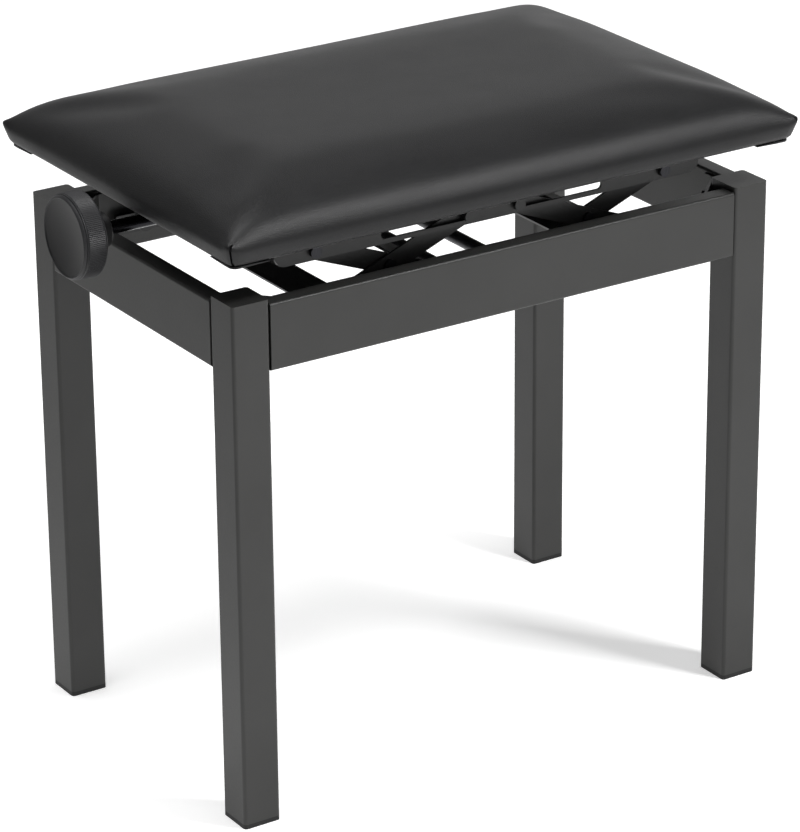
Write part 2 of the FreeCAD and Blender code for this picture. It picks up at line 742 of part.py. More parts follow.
# ---------------------------------------------------------------------------
# Travelling bars and their nuts
# ---------------------------------------------------------------------------
for name, side in SIDES:
    label = "travelling_bar_" + name
    bar = new_body(label)
    sketch = new_sketch(bar, "XY_Plane")
    draw_rectangle(sketch, S.bar_side, S.bar_side, as_size(1.5))
    pad(bar, sketch, 2 * bar_half, symmetric=True)
    for direction in (-1, 1):
        sketch = new_sketch(bar, "XZ_Plane")
        journal = steps((rod_r, outer_in - S.washer_play), (pin_r, arm_outer + S.washer_play),
                        (head_r, slide_low), (pin_r, slide_high), (head_r, head_out))
        profile = [(0, bar_half - 1), (rod_r, bar_half - 1)] + journal + [(0, head_out)]
        draw_outline(sketch, [(radius, direction * at) for radius, at in profile])
        journals = bar.newObject("PartDesign::Revolution", label + "_journals")
        journals.Profile = sketch
        journals.ReferenceAxis = (sketch, ["V_Axis"])
        journals.Angle = 360
    sketch = new_sketch(bar, "YZ_Plane")
    draw_circle(sketch, 0, 0, nut_outer)
    pocket(bar, sketch, 2 * S.bar_side)
    place(bar, side * S.pivot_in, 0, top_pivot, turned(ALONG, -90))
    keep(bar, label)

    label = "spindle_nut_" + name
    bore = S.spindle_width / 2 + S.running_fit
    body_r = nut_outer / 2
    flange_r = body_r + S.nut_lip
    nut = spun(label, [(bore, 0), (flange_r, 0), (flange_r, S.nut_plate),
                       (body_r, S.nut_plate), (body_r, S.nut_plate + S.bar_side),
                       (bore, S.nut_plate + S.bar_side)])
    outer_face = S.pivot_in + S.bar_side / 2 + S.nut_plate
    place(nut, side * outer_face, 0, top_pivot, turned(ACROSS, -90 * side))
    keep(nut, label)

# ---------------------------------------------------------------------------
# Spindle, bushes, collars and the knob at the spindle's left end
# ---------------------------------------------------------------------------
journal_r = S.journal_width / 2
thread_end = slide_end + S.thread_over
left_end = knob_face_at - S.dish_depth - S.inlay_thick - 1
right_end = end_plate_at + S.sheet + S.nut_plate + S.spindle_tail
spindle = spun("spindle", [(0, -left_end), (journal_r, -left_end),
                           (journal_r, -thread_end), (S.spindle_width / 2, -thread_end),
                           (S.spindle_width / 2, thread_end), (journal_r, thread_end),
                           (journal_r, right_end), (0, right_end)])
place(spindle, 0, 0, top_pivot, turned(ACROSS, 90))
keep(spindle, "spindle")

bushes, collars = [], []
for name, side in SIDES:
    outward = turned(ACROSS, 90 * side)
    bore = journal_r + S.running_fit
    bush = spun("spindle_bush_" + name,
                [(bore, 0), (S.bush_flange / 2, 0), (S.bush_flange / 2, S.nut_plate),
                 (S.bush_outer / 2, S.nut_plate), (S.bush_outer / 2, 2 * S.nut_plate + S.sheet),
                 (bore, 2 * S.nut_plate + S.sheet)])
    bushes.append(place(bush, side * (end_plate_at - S.nut_plate), 0, top_pivot, outward))
    collar = ring("thrust_collar_" + name, S.journal_width, S.collar_width, S.collar_long)
    collars.append(place(collar, side * (collar_at - S.collar_long), 0, top_pivot, outward))
group("spindle_bushes", bushes)
group("thrust_collars", collars)

to_left = turned(ACROSS, -90)
rear = S.knob_hub_long
rim = rear + S.knob_thick
floor = rim - S.dish_depth - S.inlay_thick
knob = spun("knob", [(journal_r, 0), (S.knob_hub - 1, 0), (S.knob_hub, 1), (S.knob_hub, rear),
                     (S.knob_radius - 3.2, rear), (S.knob_radius, rear + 3.2),
                     (S.knob_radius, rim - 4), (S.knob_radius - 1.2, rim - 2.8),
                     (S.knob_radius - 1.2, rim - 1.2), (S.knob_radius - 2, rim),
                     (S.knob_dish, rim), (S.knob_dish, floor), (journal_r, floor)])
sketch = new_sketch(knob, "XZ_Plane")
draw_circle(sketch, 0, S.knob_hub_long / 2, S.grub_width)
pocket(knob, sketch, 4 * S.knob_hub)
hub_at = knob_face_at - S.knob_thick - S.knob_hub_long
place(knob, -hub_at, 0, top_pivot, to_left)
keep(knob, "knob")

inlay_r = S.knob_dish - 0.1
edge = S.dish_depth + S.inlay_thick - 1.2
inlay = spun("knob_inlay", [(0, 0), (inlay_r, 0), (inlay_r, edge), (inlay_r * 0.8, edge - 1.3),
                            (inlay_r * 0.5, S.inlay_thick + 0.35), (0, S.inlay_thick)])
place(inlay, -hub_at - floor, 0, top_pivot, to_left)
keep(inlay, "knob_inlay")

grubs = []
for face, out in FACES:
    grub = stepped_pin("grub_" + face, [(S.grub_width / 2, S.knob_hub - journal_r - 1)])
    grubs.append(place(grub, -hub_at - S.knob_hub_long / 2, out * (S.knob_hub - 0.8), top_pivot,
                       face_turn[out]))
group("knob_grub_screws", grubs)

# ---------------------------------------------------------------------------
# End plates of the upper frame
# ---------------------------------------------------------------------------
plate_top = dust_low - S.sheet
for name, side in SIDES:
    label = "end_plate_" + name
    body = new_body(label)
    sketch = new_sketch(body, "YZ_Plane")
    half = track_inner
    low = top_pivot - S.end_plate_below
    draw_outline(sketch, [(-half, top_track_low), (-S.bar_side, top_track_low),
                          (-S.bar_side, low), (S.bar_side, low), (S.bar_side, top_track_low),
                          (half, top_track_low), (half, plate_top), (-half, plate_top)])
    draw_circle(sketch, 0, top_pivot, S.bush_outer)
    pad(body, sketch, S.sheet)
    sketch = new_sketch(body, "XZ_Plane")
    draw_outline(sketch, [(0, plate_top), (S.sheet, plate_top), (S.sheet, dust_low),
                          (-S.flange_wide + S.sheet, dust_low), (-S.flange_wide + S.sheet, plate_top)])
    flange_half = track_half - S.flange_wide - 0.5
    pad(body, sketch, 2 * flange_half, symmetric=True)
    drill_flange(body, [(screw_end_x - end_plate_at, out * screw_end_y) for out in (-1, 1)])
    place(body, side * end_plate_at, 0, 0, turned(UP, 180) if side < 0 else None)
    keep(body, label)

# ---------------------------------------------------------------------------
# Seat: board, foam, cover, dust cloth, screws and staples
# ---------------------------------------------------------------------------


def block(name, length, depth, height, low, corner):
    """A centred slab with rounded upright edges."""
    body = new_body(name)
    sketch = new_sketch(body, "XY_Plane")
    draw_rectangle(sketch, length, depth, corner)
    pad(body, sketch, height)
    place(body, 0, 0, low)
    return body


def soften_top(body, radius):
    """Round the top edge of a slab."""
    doc.recompute()
    solid = body.Tip
    top = body.Shape.BoundBox.ZMax
    edges = [f"Edge{i + 1}" for i, edge in enumerate(body.Shape.Edges)
             if edge.BoundBox.ZMin > top - 0.01]
    feature = body.newObject("PartDesign::Fillet", body.Name + "_soft")
    feature.Base = (solid, edges)
    bind(feature, "Radius", radius)
    body.Tip = feature


foam_length = seat_length - 2 * cover_inside
foam_depth = seat_depth - 2 * cover_inside
foam_corner = S.seat_corner - cover_inside
board_length = foam_length - 2 * S.foam_wrap
board_depth = foam_depth - 2 * S.foam_wrap
board_corner = foam_corner - S.foam_wrap

keep(block("seat_board", board_length, board_depth, S.board_thick, board_low, board_corner),
     "seat_board")

foam_block = block("foam_block", foam_length, foam_depth, seat_top - cover_inside - board_low,
                   board_low, foam_corner)
soften_top(foam_block, S.seat_round - cover_inside)
recess = block("foam_recess", board_length + 2 * S.cover_gap, board_depth + 2 * S.cover_gap,
               S.board_thick + S.cover_gap, board_low, board_corner + S.cover_gap)
foam = doc.addObject("Part::Cut", "seat_foam")
foam.Base = foam_block
foam.Tool = recess
keep(foam, "seat_foam")

cover_block = block("cover_block", seat_length, seat_depth, S.seat_tall, seat_low,
                    S.seat_corner)
soften_top(cover_block, S.seat_round)
cavity = block("cover_cavity", foam_length + 2 * S.cover_gap, foam_depth + 2 * S.cover_gap,
               seat_top - S.cover_thick - hem_top, hem_top, foam_corner + S.cover_gap)
soften_top(cavity, S.seat_round - S.cover_thick)
mouth = block("cover_mouth", seat_length - 2 * S.hem_wide, seat_depth - 2 * S.hem_wide,
              2 * S.cover_thick, seat_low - S.cover_thick / 2, as_size(2))
hollow = doc.addObject("Part::MultiFuse", "cover_hollow")
hollow.Shapes = [cavity, mouth]
cover = doc.addObject("Part::Cut", "seat_cover")
cover.Base = cover_block
cover.Tool = hollow
keep(cover, "seat_cover")

keep(block("dust_cloth", seat_length - 2 * S.dust_inset, seat_depth - 2 * S.dust_inset,
           S.dust_thick, dust_low, as_size(4)), "dust_cloth")

screws = []
for number, (x, y) in enumerate([(side * at, out * down) for side in (-1, 1) for out in (-1, 1)
                                 for at, down in [(x, screw_y) for x in screw_x]
                                 + [(screw_end_x, screw_end_y)]]):
    screw = stepped_pin(f"seat_screw_{number}",
                        [(S.screw_head / 2, S.screw_head_tall),
                         (S.screw_width / 2, S.sheet + board_low - dust_low + S.screw_bite)])
    screws.append(place(screw, x, y, dust_low - S.sheet - S.screw_head_tall))
group("seat_screws", screws)

staples = []
staple_x = seat_length / 2 - S.staple_inset
staple_y = seat_depth / 2 - S.staple_inset
LONG_ROW, SHORT_ROW = 9, 6


def staple(name, x, y, spin):
    """The crown of a staple that lies flat against the dust cloth."""
    wire = doc.addObject("Part::Box", name)
    bind(wire, "Length", S.staple_long)
    bind(wire, "Width", S.staple_wire)
    bind(wire, "Height", S.staple_wire)
    half_long, half_wire = S.staple_long / 2, S.staple_wire / 2
    if spin:
        place(wire, x + half_wire, y - half_long, dust_low - S.staple_wire, turned(UP, 90))
    else:
        place(wire, x - half_long, y - half_wire, dust_low - S.staple_wire)
    return wire


for side in (-1, 1):
    for index in range(LONG_ROW):
        share = (2 * index - LONG_ROW + 1) / LONG_ROW
        staples.append(staple(f"staple_long_{len(staples)}", staple_x * share, side * staple_y, False))
    for index in range(SHORT_ROW):
        share = (2 * index - SHORT_ROW + 1) / SHORT_ROW
        staples.append(staple(f"staple_short_{len(staples)}", side * staple_x, staple_y * share, True))
group("cloth_staples", staples)

# ---------------------------------------------------------------------------
# Check and export
# ---------------------------------------------------------------------------
doc.recompute()
for thing in doc.Objects:
    if "Invalid" in thing.State or "Error" in thing.State:
        raise RuntimeError(f"{thing.Name} ({thing.Label}) did not build: {thing.State}")
for piece in nodes:
    if piece.Shape.isNull() or not piece.Shape.isValid() or not piece.Shape.Solids:
        raise RuntimeError(f"{piece.Label}: no valid solid")

os.makedirs("parts", exist_ok=True)
to_origin = FreeCAD.Vector(-middle_x.value, 0, 0)
for piece in nodes:
    piece.Shape.translated(to_origin).exportStep(os.path.join("parts", piece.Label + ".step"))
    print(f"{piece.Label}: {len(piece.Shape.Solids)} solid(s), {piece.Shape.Volume / 1000:.2f} cm3")
print(f"{len(nodes)} nodes; arms {arm_long.value:.2f} mm long at {arm_angle:.2f} degrees")
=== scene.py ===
"""Piano bench: dresses the CAD nodes, and models the padded seat, the knob and the spindle."""

import json
import logging
import math
from dataclasses import dataclass, field
from enum import Enum
from typing import Callable

import bmesh
import bpy
import numpy as np
from mathutils import Matrix, Vector


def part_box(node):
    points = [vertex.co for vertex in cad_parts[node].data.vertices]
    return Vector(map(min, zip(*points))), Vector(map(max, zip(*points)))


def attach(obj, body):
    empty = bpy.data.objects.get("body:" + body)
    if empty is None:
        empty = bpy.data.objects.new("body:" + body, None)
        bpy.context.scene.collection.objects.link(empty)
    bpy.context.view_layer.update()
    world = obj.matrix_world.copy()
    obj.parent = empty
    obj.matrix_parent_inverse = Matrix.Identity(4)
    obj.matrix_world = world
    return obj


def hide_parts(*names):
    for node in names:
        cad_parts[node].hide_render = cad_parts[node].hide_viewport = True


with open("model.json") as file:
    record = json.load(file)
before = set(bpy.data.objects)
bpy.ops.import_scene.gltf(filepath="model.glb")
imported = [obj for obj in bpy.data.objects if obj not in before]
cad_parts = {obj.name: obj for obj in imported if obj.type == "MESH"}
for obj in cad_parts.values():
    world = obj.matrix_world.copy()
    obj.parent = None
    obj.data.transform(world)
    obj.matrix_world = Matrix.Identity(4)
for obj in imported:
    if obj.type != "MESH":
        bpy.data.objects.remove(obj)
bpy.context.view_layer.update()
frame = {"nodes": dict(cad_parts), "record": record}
log = logging.getLogger("piano_bench")

MM = 0.001
DIELECTRIC_IOR = 1.4  # paints and plastics: satin, without a hard white glare
TOP_COAT_IOR = 1.33  # the leather's top coat: duller face on, still bright at a glancing angle
# The middle of the steel frame; one knob at the left end puts it right of the origin.
MIDDLE = Vector(((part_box("leg_front_left")[0].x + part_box("leg_front_right")[1].x) / 2, 0, 0))


class Side(Enum):
    """The two ends of the bench, by the sign of X."""

    LEFT = -1
    RIGHT = 1

    @property
    def word(self) -> str:
        """The side's name, as the CAD nodes have it."""
        return self.name.lower()


# ---------------------------------------------------------------------------
# Materials
# ---------------------------------------------------------------------------


def linear(code: str) -> tuple[float, float, float, float]:
    """Turn an sRGB hex colour into linear RGBA.

    Args:
        code: Six hex digits.

    Returns:
        Linear red, green, blue and an alpha of 1.
    """
    channels = [int(code[i : i + 2], 16) / 255 for i in (0, 2, 4)]
    bent = [c / 12.92 if c <= 0.04045 else ((c + 0.055) / 1.055) ** 2.4 for c in channels]
    return (*bent, 1.0)


def per_mm(size: float) -> float:
    """Texture scale, in cycles per metre, of a pattern that repeats every size millimetres."""
    return 1 / (size * MM)


def add_node(
    tree: bpy.types.NodeTree, kind: str, settings: dict | None = None, links: dict | None = None
) -> bpy.types.Node:
    """Add one shader node.

    Args:
        tree: The material's node tree.
        kind: The node's type name.
        settings: Properties by name, and values of sockets by their label or number.
        links: Output sockets by the label or number of the input that they feed.

    Returns:
        The new node.
    """
    node = tree.nodes.new(kind)
    for name, value in (settings or {}).items():
        if isinstance(name, str) and hasattr(node, name):
            setattr(node, name, value)
        else:
            node.inputs[name].default_value = value
    for name, socket in (links or {}).items():
        tree.links.new(socket, node.inputs[name])
    return node


def add_ramp(
    tree: bpy.types.NodeTree, factor: bpy.types.NodeSocket, stops: list[tuple[float, str]]
) -> bpy.types.NodeSocket:
    """Map a factor to colours.

    Args:
        tree: The material's node tree.
        factor: The socket that drives the ramp.
        stops: Places from 0 to 1, each with a hex colour.

    Returns:
        The colour output.
    """
    ramp = add_node(tree, "ShaderNodeValToRGB", links={"Fac": factor})
    elements = ramp.color_ramp.elements
    while len(elements) < len(stops):
        elements.new(1.0)
    for element, (place, code) in zip(elements, stops):
        element.position = place
        element.color = linear(code)
    return ramp.outputs["Color"]


@dataclass(frozen=True)
class Finish:
    """What every finish has: a name, and a shader that a subclass fills in."""

    name: str

    def material(self) -> bpy.types.Material:
        """Build the material, or return it if it has been built."""
        known = bpy.data.materials.get(self.name)
        if known:
            return known
        made = bpy.data.materials.new(self.name)
        made.use_nodes = True
        tree = made.node_tree
        shader = tree.nodes["Principled BSDF"]
        where = add_node(tree, "ShaderNodeTexCoord").outputs["Object"]
        self.shade(tree, shader, where)
        return made

    def shade(self, tree: bpy.types.NodeTree, shader: bpy.types.Node, where: bpy.types.NodeSocket) -> None:
        """Fill in the shader.

        Args:
            tree: The material's node tree.
            shader: Its Principled BSDF.
            where: Object coordinates, in metres.
        """
        raise NotImplementedError


@dataclass(frozen=True)
class PowderCoat(Finish):
    """Satin powder coat baked on steel: an even film with a faint orange peel."""

    dark: str = "2b2b2b"
    light: str = "323231"
    roughness: float = 0.42
    peel_mm: float = 1.6
    depth: float = 0.12

    def shade(self, tree: bpy.types.NodeTree, shader: bpy.types.Node, where: bpy.types.NodeSocket) -> None:
        """Even colour, a slow drift in it, and shallow peel that breaks up highlights."""
        drift = add_node(tree, "ShaderNodeTexNoise", {"Scale": per_mm(60), "Detail": 2.0}, {"Vector": where})
        tree.links.new(add_ramp(tree, drift.outputs["Fac"], [(0.3, self.dark), (0.7, self.light)]),
                       shader.inputs["Base Color"])
        peel = add_node(tree, "ShaderNodeTexNoise", {"Scale": per_mm(self.peel_mm), "Detail": 3.0},
                        {"Vector": where})
        rough = add_node(tree, "ShaderNodeMapRange",
                         {"To Min": self.roughness - 0.04, "To Max": self.roughness + 0.06},
                         {"Value": peel.outputs["Fac"]})
        tree.links.new(rough.outputs["Result"], shader.inputs["Roughness"])
        bump = add_node(tree, "ShaderNodeBump", {"Strength": self.depth, "Distance": 0.3 * MM},
                        {"Height": peel.outputs["Fac"]})
        tree.links.new(bump.outputs["Normal"], shader.inputs["Normal"])
        shader.inputs["IOR"].default_value = DIELECTRIC_IOR


@dataclass(frozen=True)
class ArtificialLeather(Finish):
    """PVC leather: an embossed pebble grain under a satin top coat."""

    dark: str = "0e0e0f"
    light: str = "151516"
    grain_mm: float = 1.3
    roughness: float = 0.44

    def shade(self, tree: bpy.types.NodeTree, shader: bpy.types.Node, where: bpy.types.NodeSocket) -> None:
        """Pebbles with fine creases between them; the creases are darker, as painted shade, and duller."""
        warp = add_node(tree, "ShaderNodeTexNoise", {"Scale": per_mm(4), "Detail": 2.0}, {"Vector": where})
        bent = add_node(tree, "ShaderNodeMix", {"data_type": "VECTOR", "Factor": 0.0006},
                        {4: where, 5: warp.outputs["Color"]})
        pebble = add_node(tree, "ShaderNodeTexVoronoi",
                          {"feature": "DISTANCE_TO_EDGE", "Scale": per_mm(self.grain_mm)},
                          {"Vector": bent.outputs[1]})
        crease = add_node(tree, "ShaderNodeMapRange", {"From Max": 0.22, "To Min": 0.0, "To Max": 1.0},
                          {"Value": pebble.outputs["Distance"]})
        drift = add_node(tree, "ShaderNodeTexNoise", {"Scale": per_mm(35), "Detail": 4.0}, {"Vector": where})
        # the creases pull the tone down: painted shade in the grain's valleys
        tone = add_node(tree, "ShaderNodeMath", {"operation": "MULTIPLY_ADD", 1: 0.45},
                        {0: crease.outputs["Result"], 2: drift.outputs["Fac"]})
        tree.links.new(add_ramp(tree, tone.outputs["Value"], [(0.35, self.dark), (0.95, self.light)]),
                       shader.inputs["Base Color"])
        rough = add_node(tree, "ShaderNodeMapRange",
                         {"From Min": 0.3, "From Max": 0.7,
                          "To Min": self.roughness - 0.015, "To Max": self.roughness + 0.015},
                         {"Value": drift.outputs["Fac"]})
        tree.links.new(rough.outputs["Result"], shader.inputs["Roughness"])
        bump = add_node(tree, "ShaderNodeBump", {"Strength": 0.35, "Distance": 0.15 * MM},
                        {"Height": crease.outputs["Result"]})
        tree.links.new(bump.outputs["Normal"], shader.inputs["Normal"])
        shader.inputs["IOR"].default_value = TOP_COAT_IOR


@dataclass(frozen=True)
class MouldedPlastic(Finish):
    """Injection-moulded plastic with a fine spark-eroded texture."""

    dark: str = "1d1d1f"
    light: str = "252527"
    roughness: float = 0.4
    texture_mm: float = 0.5
    depth: float = 0.25

    def shade(self, tree: bpy.types.NodeTree, shader: bpy.types.Node, where: bpy.types.NodeSocket) -> None:
        """Even colour with the mould's grit in the bump and the roughness."""
        grit = add_node(tree, "ShaderNodeTexNoise", {"Scale": per_mm(self.texture_mm), "Detail": 2.0},
                        {"Vector": where})
        tree.links.new(add_ramp(tree, grit.outputs["Fac"], [(0.35, self.dark), (0.65, self.light)]),
                       shader.inputs["Base Color"])
        rough = add_node(tree, "ShaderNodeMapRange",
                         {"To Min": self.roughness - 0.05, "To Max": self.roughness + 0.05},
                         {"Value": grit.outputs["Fac"]})
        tree.links.new(rough.outputs["Result"], shader.inputs["Roughness"])
        bump = add_node(tree, "ShaderNodeBump", {"Strength": self.depth, "Distance": 0.1 * MM},
                        {"Height": grit.outputs["Fac"]})
        tree.links.new(bump.outputs["Normal"], shader.inputs["Normal"])
        shader.inputs["IOR"].default_value = DIELECTRIC_IOR


@dataclass(frozen=True)
class Plated(Finish):
    """Plated metal, drawn or turned: fine lines along or round the piece."""

    dark: str = "9a9ca0"
    light: str = "c4c6c9"
    roughness: float = 0.32
    lines: tuple[float, float, float] = (40.0, 2.0, 2.0)

    def shade(self, tree: bpy.types.NodeTree, shader: bpy.types.Node, where: bpy.types.NodeSocket) -> None:
        """Metal whose tool marks are noise stretched along one axis."""
        stretched = add_node(tree, "ShaderNodeMapping", {"Scale": self.lines}, {"Vector": where})
        marks = add_node(tree, "ShaderNodeTexNoise", {"Scale": per_mm(12), "Detail": 3.0},
                         {"Vector": stretched.outputs["Vector"]})
        tree.links.new(add_ramp(tree, marks.outputs["Fac"], [(0.3, self.dark), (0.7, self.light)]),
                       shader.inputs["Base Color"])
        rough = add_node(tree, "ShaderNodeMapRange",
                         {"To Min": self.roughness - 0.08, "To Max": self.roughness + 0.08},
                         {"Value": marks.outputs["Fac"]})
        tree.links.new(rough.outputs["Result"], shader.inputs["Roughness"])
        shader.inputs["Metallic"].default_value = 1.0


@dataclass(frozen=True)
class RawPlywood(Finish):
    """Rotary-cut plywood: flat grain on its faces and stacked plies on its edges."""

    ply_mm: float = 1.7

    def shade(self, tree: bpy.types.NodeTree, shader: bpy.types.Node, where: bpy.types.NodeSocket) -> None:
        """Long grain along X, and plies by height."""
        stretched = add_node(tree, "ShaderNodeMapping", {"Scale": (4.0, 45.0, 4.0)}, {"Vector": where})
        grain = add_node(tree, "ShaderNodeTexNoise", {"Scale": 2.2, "Detail": 6.0, "Distortion": 0.6},
                         {"Vector": stretched.outputs["Vector"]})
        colour = add_ramp(tree, grain.outputs["Fac"], [(0.3, "b08a5e"), (0.7, "d2b184")])
        height = add_node(tree, "ShaderNodeSeparateXYZ", links={"Vector": where}).outputs["Z"]
        plies = add_node(tree, "ShaderNodeMath", {"operation": "PINGPONG", 1: self.ply_mm * MM}, {0: height})
        dark = add_node(tree, "ShaderNodeMapRange", {"From Max": self.ply_mm * MM, "To Min": 0.55},
                        {"Value": plies.outputs["Value"]})
        mixed = add_node(tree, "ShaderNodeMix",
                         {"data_type": "RGBA", "blend_type": "MULTIPLY", "Factor": 0.35},
                         {6: colour, 7: dark.outputs["Result"]})
        tree.links.new(mixed.outputs[2], shader.inputs["Base Color"])
        shader.inputs["Roughness"].default_value = 0.75


@dataclass(frozen=True)
class Lining(Finish):
    """Spun-bonded lining cloth: pressed fibres with a grid of weld dots."""

    dark: str = "101010"
    light: str = "1e1e1e"
    dot_mm: float = 2.2

    def shade(self, tree: bpy.types.NodeTree, shader: bpy.types.Node, where: bpy.types.NodeSocket) -> None:
        """Dots pressed in at a regular pitch, with loose fibre between them."""
        fibre = add_node(tree, "ShaderNodeTexNoise", {"Scale": per_mm(0.9), "Detail": 5.0}, {"Vector": where})
        dots = add_node(tree, "ShaderNodeTexVoronoi", {"Scale": per_mm(self.dot_mm), "Randomness": 0.0},
                        {"Vector": where})
        height = add_node(tree, "ShaderNodeMath", {"operation": "MULTIPLY_ADD", 1: 0.4},
                          {0: fibre.outputs["Fac"], 2: dots.outputs["Distance"]})
        tree.links.new(add_ramp(tree, height.outputs["Value"], [(0.2, self.dark), (0.9, self.light)]),
                       shader.inputs["Base Color"])
        bump = add_node(tree, "ShaderNodeBump", {"Strength": 0.5, "Distance": 0.3 * MM},
                        {"Height": height.outputs["Value"]})
        tree.links.new(bump.outputs["Normal"], shader.inputs["Normal"])
        shader.inputs["Roughness"].default_value = 0.95


# Satin powder coat on welded steel tube: an even charcoal that a soft light turns grey.
FRAME_PAINT = PowderCoat("powder_coat_frame", dark="2c2c2b", light="30302f")
# The same coat on pressed sheet, glossier, and painted blacker as shade under the seat: the lift reads as a
# dark gap with crisp edges.
LIFT_SHADED_PAINT = PowderCoat("powder_coat_lift", dark="161616", light="1b1b1b", roughness=0.34)
# Black zinc on turned pins and rods: a dull metal glint against the paint.
DARK_ZINC = Plated("black_zinc", dark="2a2a2c", light="3c3c3f", roughness=0.38)
# Oiled black steel on the rolled thread: a bright line along each crest.
SPINDLE_STEEL = Plated("oiled_black_steel", dark="1a1a1c", light="29292c", roughness=0.25)
# Bright zinc on nuts, bolts and screws: small pale points.
BRIGHT_ZINC = Plated("bright_zinc")
# Turned brass on the travelling nuts: the one warm spot inside.
BRASS = Plated("turned_brass", dark="a8813f", light="cfa961", lines=(2.0, 2.0, 2.0))
# Moulded nylon on bushes and washers: soft and grey-black.
NYLON = MouldedPlastic("black_nylon", roughness=0.5)
# Moulded ABS in the knob's dish and on its hub, painted darker than the ribs as shade: deep black with a slow
# gradient.
KNOB_SHADED_PLASTIC = MouldedPlastic("knob_abs", dark="0d0d0e", light="121213", roughness=0.45)
# The same ABS on the ribs, duller, and painted paler than the dish and hub as the lit side of the knob.
KNOB_LIT_GRIP = MouldedPlastic("knob_abs_rubbed", dark="1c1c1e", light="252527", roughness=0.5)
# Moulded polyethylene on caps and feet: waxy and almost without glare.
FOOT_PLASTIC = MouldedPlastic("foot_polyethylene", dark="121212", light="191919", roughness=0.6)
# Embossed PVC leather: black pebbles, with a soft band of light on the shoulders.
LEATHER = ArtificialLeather("artificial_leather")
# Slab-cut polyurethane foam: pale and open-celled; the cover hides it.
FOAM = MouldedPlastic(
    "upholstery_foam", dark="c8bf9c", light="dcd4b4", roughness=0.95, texture_mm=1.2, depth=0.8
)
# Rotary-cut plywood: pale grain, and plies on the edge.
PLYWOOD = RawPlywood("raw_plywood")
# Spun-bonded lining under the seat: matt black with a grid of dots.
LINING = Lining("spunbond_lining")

FINISH_BY_SLOT: dict[str, Finish] = {
    "frame_paint": FRAME_PAINT,
    # the lift's slot gets the blacker copy of the frame's coat: painted shade under the seat
    "lift_paint": LIFT_SHADED_PAINT,
    "dark_zinc": DARK_ZINC,
    "bright_zinc": BRIGHT_ZINC,
    "brass_nut": BRASS,
    "nylon": NYLON,
    "knob_plastic": KNOB_SHADED_PLASTIC,
    "foot_plastic": FOOT_PLASTIC,
    "seat_vinyl": LEATHER,
    "foam": FOAM,
    "plywood": PLYWOOD,
    "lining_cloth": LINING,
}


def dress(piece: bpy.types.Object, finish: Finish) -> None:
    """Give a piece one finish in every slot.

    Args:
        piece: A mesh object.
        finish: The finish that it gets.
    """
    made = finish.material()
    if not piece.material_slots:
        piece.data.materials.append(made)
    for holder in piece.material_slots:
        holder.material = made


@dataclass(frozen=True)
class CadAssembly:
    """A sub-assembly whose CAD nodes keep their shape and get their finishes."""

    name: str
    bodies: tuple[str, ...]

    def build(self) -> None:
        """Dress each node of the assembly's bodies by its slot in the record."""
        slots = {part["node"]: part["material_slot"] for part in frame["record"]["subparts"]}
        owned = [node for body in self.bodies for node in frame["record"]["behaviour"]["bodies"][body]]
        for node in owned:
            dress(frame["nodes"][node], FINISH_BY_SLOT[slots[node]])
        log.info("%s: dressed %d CAD nodes", self.name, len(owned))


@dataclass(frozen=True)
class ScissorLift(CadAssembly):
    """Both pairs of crossed arms with their travelling bars."""

    name: str = "scissor lift"
    bodies: tuple[str, ...] = tuple(
        f"{part}_{side.word}" for side in Side for part in ("outer_arms", "inner_arms", "traveller")
    )


STEEL_FRAME = CadAssembly("steel frame", ("frame",))
SEAT_BASE = CadAssembly("seat base", ("seat", "drive"))


# ---------------------------------------------------------------------------
# Modelling helpers
# ---------------------------------------------------------------------------


def deselect_all() -> None:
    """Leave object mode with nothing selected."""
    if bpy.context.mode != "OBJECT":
        bpy.ops.object.mode_set(mode="OBJECT")
    bpy.ops.object.select_all(action="DESELECT")


def activate(piece: bpy.types.Object) -> None:
    """Make one piece the only selected and active one."""
    deselect_all()
    piece.select_set(True)
    bpy.context.view_layer.objects.active = piece


def apply_modifiers(piece: bpy.types.Object) -> None:
    """Apply all of a piece's modifiers in their order."""
    activate(piece)
    for modifier in list(piece.modifiers):
        bpy.ops.object.modifier_apply(modifier=modifier.name)


def settle(piece: bpy.types.Object) -> None:
    """Move a piece's place into its mesh, so that its object sits at the origin."""
    activate(piece)
    bpy.ops.object.transform_apply(location=True, rotation=True, scale=True)


def pick(piece: bpy.types.Object, kind: str, test: Callable[[bmesh.types.BMVert], bool]) -> int:
    """In edit mode, select the elements whose vertices all pass a test.

    Args:
        piece: The active piece, in edit mode.
        kind: "VERT", "EDGE" or "FACE".
        test: Says whether a place is wanted.

    Returns:
        How many elements were selected.
    """
    bpy.ops.mesh.select_mode(type=kind)
    bpy.ops.mesh.select_all(action="DESELECT")
    mesh = bmesh.from_edit_mesh(piece.data)
    count = 0
    for element in {"VERT": mesh.verts, "EDGE": mesh.edges, "FACE": mesh.faces}[kind]:
        corners = [element] if kind == "VERT" else element.verts
        if all(test(corner.co) for corner in corners):
            element.select_set(True)
            count += 1
    bmesh.update_edit_mesh(piece.data)
    return count


def points_of(piece: bpy.types.Object) -> np.ndarray:
    """A piece's vertices as rows of x, y and z."""
    points = np.empty(len(piece.data.vertices) * 3)
    piece.data.vertices.foreach_get("co", points)
    return points.reshape(-1, 3)


def move_points(piece: bpy.types.Object, points: np.ndarray) -> None:
    """Put a piece's vertices where the rows of points say."""
    piece.data.vertices.foreach_set("co", points.ravel())
    piece.data.update()


def smooth(piece: bpy.types.Object, degrees: float) -> None:
    """Shade smooth except at edges sharper than an angle."""
    activate(piece)
    bpy.ops.object.shade_smooth_by_angle(angle=math.radians(degrees))


def box(name: str, low: Vector, high: Vector) -> bpy.types.Object:
    """A block between two corners."""
    deselect_all()
    bpy.ops.mesh.primitive_cube_add(size=1, location=(low + high) / 2, scale=high - low)
    piece = bpy.context.object
    piece.name = name
    settle(piece)
    return piece


